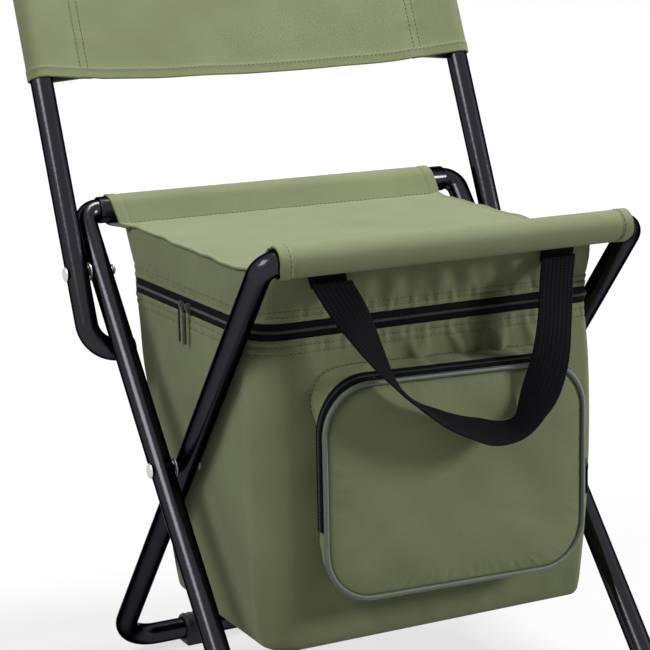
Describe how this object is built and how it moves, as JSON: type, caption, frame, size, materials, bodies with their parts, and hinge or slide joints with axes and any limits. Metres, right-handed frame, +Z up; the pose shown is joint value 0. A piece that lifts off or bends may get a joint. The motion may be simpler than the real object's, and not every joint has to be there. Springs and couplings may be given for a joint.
{
  "type": "folding cooler stool",
  "caption": "Folding stool with a backrest: crossed tube leg frames, a cloth sling seat, a zipped insulated cooler bag with a front pocket under it and a webbing handle",
  "frame": {"origin": "on the floor under the middle of the stool's bounding box", "axes": "+Z up, +X to the sitter's left when seated, -Y to the front"},
  "size_m": [0.3598, 0.384, 0.6022],
  "materials": {
    "black_paint": "gloss",
    "black_metal": "satin",
    "bright_steel": "satin",
    "black_plastic": "matte",
    "olive_cloth": "matte",
    "black_tape": "matte",
    "black_webbing": "matte",
    "grey_piping": "matte",
    "white_foam": "matte",
    "silver_liner": "satin",
    "grey_board": "matte"
  },
  "bodies": {
    "outer_frame": {"outer_leg_frame": "black_paint", "rear_rail": "black_paint", "front_foot_left": "black_plastic", "front_foot_right": "black_plastic", "cross_rivet_left": "bright_steel", "cross_rivet_right": "bright_steel", "cross_washer_left": "bright_steel", "cross_washer_right": "bright_steel", "backrest_rivet_left": "bright_steel", "backrest_rivet_right": "bright_steel", "backrest_washer_left": "bright_steel", "backrest_washer_right": "bright_steel", "seat_sling": "olive_cloth", "top_band": "olive_cloth", "lid_foam": "white_foam", "zip_tape_upper": "black_tape", "rear_hinge_strip": "olive_cloth", "handle_tab_left": "black_webbing", "handle_tab_right": "black_webbing"},
    "inner_frame": {"inner_leg_frame": "black_paint", "front_rail": "black_paint", "rear_foot_left": "black_plastic", "rear_foot_right": "black_plastic", "seat_front_sleeve": "olive_cloth"},
    "backrest": {"backrest_frame": "black_paint", "backrest_cloth": "olive_cloth", "hook_plug_left": "black_plastic", "hook_plug_right": "black_plastic"},
    "cooler_tub": {"tub_shell": "olive_cloth", "tub_foam": "white_foam", "tub_liner": "silver_liner", "base_board": "grey_board", "zip_tape_lower": "black_tape", "pocket_gusset": "olive_cloth", "pocket_zip_tape": "black_tape", "pocket_piping": "grey_piping", "pocket_panel": "olive_cloth"},
    "handle": {"handle_strap": "black_webbing"},
    "front_slider": {"slider_front": "black_metal"},
    "front_pull": {"pull_front": "black_metal"},
    "rear_slider": {"slider_rear": "black_metal"},
    "rear_pull": {"pull_rear": "black_metal"},
    "pocket_slider_body": {"pocket_slider": "black_metal"},
    "pocket_pull_tab": {"pocket_pull": "black_metal"}
  },
  "joints": [
    {"name": "leg_fold", "type": "hinge", "parent": "outer_frame", "child": "inner_frame", "pos_m": [0, -0.03934, 0.18256], "axis": [-1, 0, 0], "range_deg": [0, 68], "deforming": ["seat_sling", "seat_front_sleeve", "top_band", "handle_tab_left", "handle_tab_right"]},
    {"name": "backrest_fold", "type": "hinge", "parent": "outer_frame", "child": "backrest", "pos_m": [0, 0.05987, 0.30164], "axis": [1, 0, 0], "range_deg": [0, 97]},
    {"name": "tub_drop", "type": "hinge", "parent": "outer_frame", "child": "cooler_tub", "pos_m": [0, 0.07866, 0.28629], "axis": [-1, 0, 0], "range_deg": [-12, 0]},
    {"name": "handle_swing", "type": "hinge", "parent": "outer_frame", "child": "handle", "pos_m": [0, -0.15623, 0.31934], "axis": [1, 0, 0], "range_deg": [-100, 0]},
    {"name": "front_slider_run", "type": "slide", "parent": "outer_frame", "child": "front_slider", "axis": [0, 1, 0], "range_m": [-0.045, 0]},
    {"name": "front_pull_swing", "type": "hinge", "parent": "front_slider", "child": "front_pull", "pos_m": [-0.1239, -0.02834, 0.28629], "axis": [0, -1, 0], "range_deg": [-80, 0]},
    {"name": "rear_slider_run", "type": "slide", "parent": "outer_frame", "child": "rear_slider", "axis": [0, -1, 0], "range_m": [-0.03, 0]},
    {"name": "rear_pull_swing", "type": "hinge", "parent": "rear_slider", "child": "rear_pull", "pos_m": [-0.1239, -0.01834, 0.28629], "axis": [0, -1, 0], "range_deg": [-80, 0]},
    {"name": "pocket_slider_run", "type": "slide", "parent": "cooler_tub", "child": "pocket_slider_body", "axis": [0, 0, -1], "range_m": [-0.045, 0]},
    {"name": "pocket_pull_swing", "type": "hinge", "parent": "pocket_slider_body", "child": "pocket_pull_tab", "pos_m": [0.1099, -0.15034, 0.17829], "axis": [0, 1, 0], "range_deg": [-80, 0]}
  ]
}
